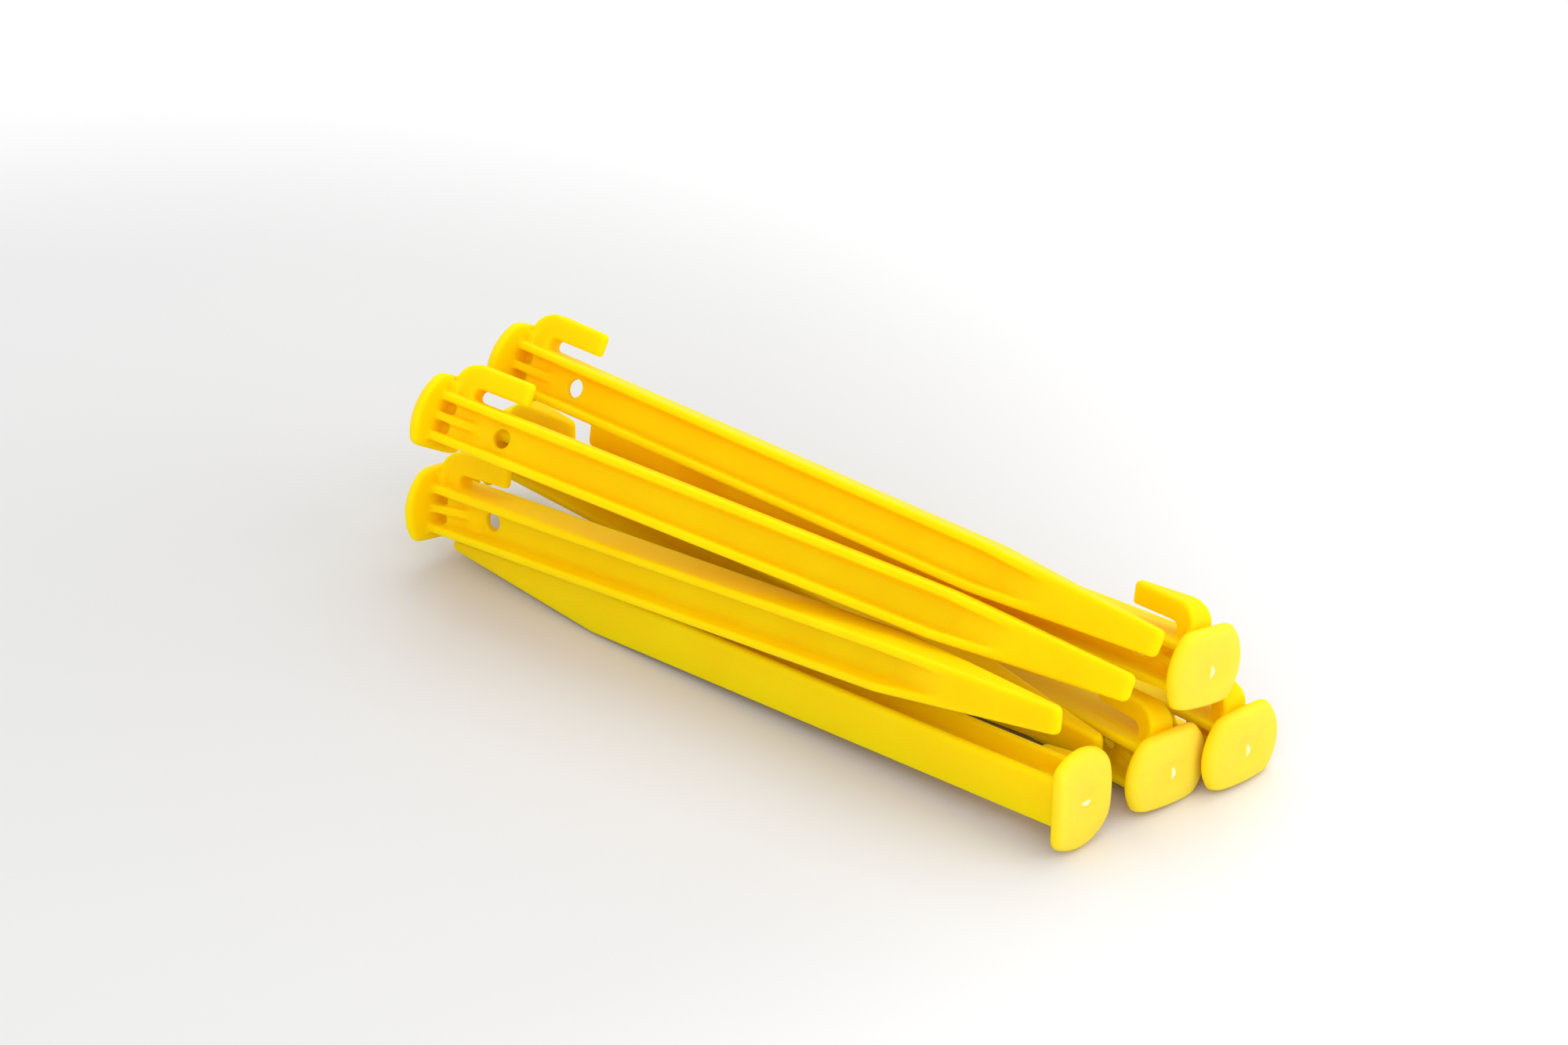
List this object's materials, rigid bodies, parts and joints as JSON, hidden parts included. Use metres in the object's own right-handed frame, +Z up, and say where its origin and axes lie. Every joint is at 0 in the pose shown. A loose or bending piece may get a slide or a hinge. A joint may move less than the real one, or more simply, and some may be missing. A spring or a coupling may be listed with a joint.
{
  "type": "tent peg pile",
  "caption": "Pile of loose yellow plastic tent pegs laid head to tail, each an I-beam stake with a domed head, a side hook and a guy-line hole.",
  "frame": {"origin": "centre of the pile's footprint, on the floor it lies on", "axes": "+Z up, +X along the pegs, +Y across the pile, away from the side that shows the most pegs"},
  "size_m": [0.2552, 0.0906, 0.0695],
  "materials": {
    "peg_plastic": "semi-gloss moulded polypropylene"
  },
  "bodies": {
    "peg_1": {"peg_1": "peg_plastic"},
    "peg_2": {"peg_2": "peg_plastic"},
    "peg_3": {"peg_3": "peg_plastic"},
    "peg_4": {"peg_4": "peg_plastic"},
    "peg_5": {"peg_5": "peg_plastic"},
    "peg_6": {"peg_6": "peg_plastic"},
    "peg_7": {"peg_7": "peg_plastic"},
    "peg_8": {"peg_8": "peg_plastic"}
  },
  "joints": [
    {"name": "peg_1_lift", "type": "slide", "parent": "peg_6", "child": "peg_1", "axis": [0, 0, 1], "range_m": [0, 0.06]},
    {"name": "peg_2_draw", "type": "slide", "parent": "peg_6", "child": "peg_2", "axis": [-0.996, -0.0801, 0.0401], "range_m": [0, 0.24]},
    {"name": "peg_3_draw", "type": "slide", "parent": "peg_6", "child": "peg_3", "axis": [-0.9953, 0.0348, -0.0906], "range_m": [0, 0.045]},
    {"name": "peg_4_draw", "type": "slide", "parent": "peg_6", "child": "peg_4", "axis": [-0.9966, 0.0802, 0.0175], "range_m": [0, 0.24]},
    {"name": "peg_5_draw", "type": "slide", "parent": "peg_6", "child": "peg_5", "axis": [0.9965, -0.0557, 0.0628], "range_m": [0, 0.24]},
    {"name": "peg_7_pull", "type": "slide", "parent": "peg_6", "child": "peg_7", "axis": [0, 0.9976, 0.0698], "range_m": [0, 0.08]},
    {"name": "peg_8_draw", "type": "slide", "parent": "peg_6", "child": "peg_8", "axis": [0.9924, -0.1219, 0.0175], "range_m": [0, 0.24]}
  ]
}
